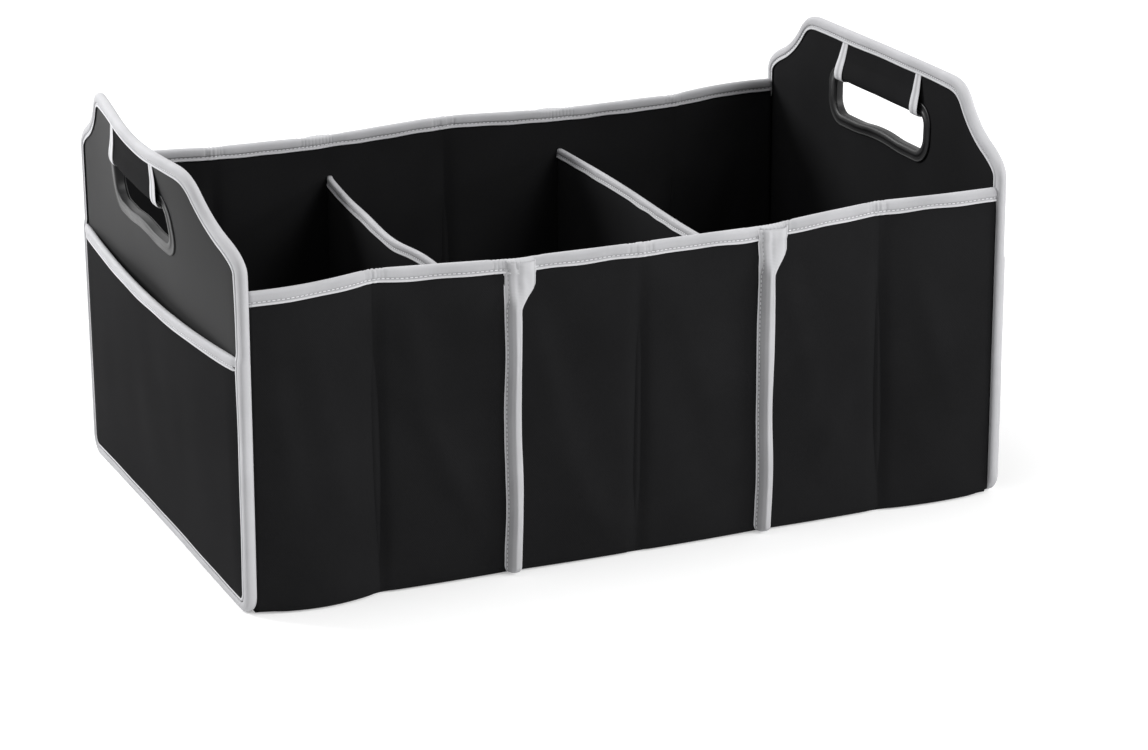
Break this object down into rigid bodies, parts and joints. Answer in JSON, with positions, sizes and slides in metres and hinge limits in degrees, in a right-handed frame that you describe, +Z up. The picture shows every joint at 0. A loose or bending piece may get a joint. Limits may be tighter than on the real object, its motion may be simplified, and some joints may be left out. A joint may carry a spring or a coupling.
{
  "type": "car trunk organizer",
  "caption": "Open-topped folding box for a car trunk: stiff bound end panels with hand holes and outer pockets, creased cloth walls, dividers and hinged floor boards.",
  "frame": {"origin": "middle of the underside, on the surface that the organizer stands on", "axes": "+X along the organizer from the left end panel to the right one, +Y from the front wall to the back wall, +Z up"},
  "size_m": [0.5852, 0.3706, 0.289],
  "materials": {
    "black_cloth": "woven polyester",
    "floor_cloth": "woven polyester",
    "grey_vinyl": "coated cloth, matte",
    "grey_tape": "ribbed binding tape",
    "card": "plain",
    "black_plastic": "moulded"
  },
  "bodies": {
    "root": {"left_end_outer_skin": "grey_vinyl", "left_end_board": "card", "left_end_lining": "black_cloth", "left_edge_binding": "grey_tape", "left_pocket": "black_cloth", "left_pocket_binding": "grey_tape", "left_handle_frame_outer": "black_plastic", "left_handle_frame_inner": "black_plastic", "left_grip_wrap": "black_cloth", "left_grip_tape_1": "grey_tape", "left_grip_tape_2": "grey_tape", "right_end_outer_skin": "grey_vinyl", "right_end_board": "card", "right_end_lining": "black_cloth", "right_edge_binding": "grey_tape", "right_pocket": "black_cloth", "right_pocket_binding": "grey_tape", "right_handle_frame_outer": "black_plastic", "right_handle_frame_inner": "black_plastic", "right_grip_wrap": "black_cloth", "right_grip_tape_1": "grey_tape", "right_grip_tape_2": "grey_tape", "front_wall_cover": "black_cloth", "front_wall_board_1": "card", "front_wall_board_2": "card", "front_wall_board_3": "card", "front_wall_board_4": "card", "front_wall_board_5": "card", "front_wall_board_6": "card", "front_top_binding": "grey_tape", "front_ridge_binding_1": "grey_tape", "front_ridge_binding_2": "grey_tape", "back_wall_cover": "black_cloth", "back_wall_board_1": "card", "back_wall_board_2": "card", "back_wall_board_3": "card", "back_wall_board_4": "card", "back_wall_board_5": "card", "back_wall_board_6": "card", "back_top_binding": "grey_tape", "back_ridge_binding_1": "grey_tape", "back_ridge_binding_2": "grey_tape", "divider_1_cover": "black_cloth", "divider_1_board": "card", "divider_1_binding": "grey_tape", "divider_2_cover": "black_cloth", "divider_2_board": "card", "divider_2_binding": "grey_tape", "base_cloth": "black_cloth", "floor_hinge_tape_1": "floor_cloth", "floor_hinge_tape_2": "floor_cloth", "floor_hinge_tape_3": "floor_cloth"},
    "floor_board_1": {"floor_board_1": "floor_cloth"},
    "floor_board_2": {"floor_board_2": "floor_cloth"},
    "floor_board_3": {"floor_board_3": "floor_cloth"}
  },
  "joints": [
    {"name": "floor_board_1_lift", "type": "hinge", "parent": "root", "child": "floor_board_1", "pos_m": [-0.2719, 0, 0.0068], "axis": [0, -1, 0], "range_deg": [0, 88]},
    {"name": "floor_board_2_lift", "type": "hinge", "parent": "root", "child": "floor_board_2", "pos_m": [-0.08923, 0, 0.0068], "axis": [0, -1, 0], "range_deg": [0, 88]},
    {"name": "floor_board_3_lift", "type": "hinge", "parent": "root", "child": "floor_board_3", "pos_m": [0.09743, 0, 0.0068], "axis": [0, -1, 0], "range_deg": [0, 88]}
  ]
}
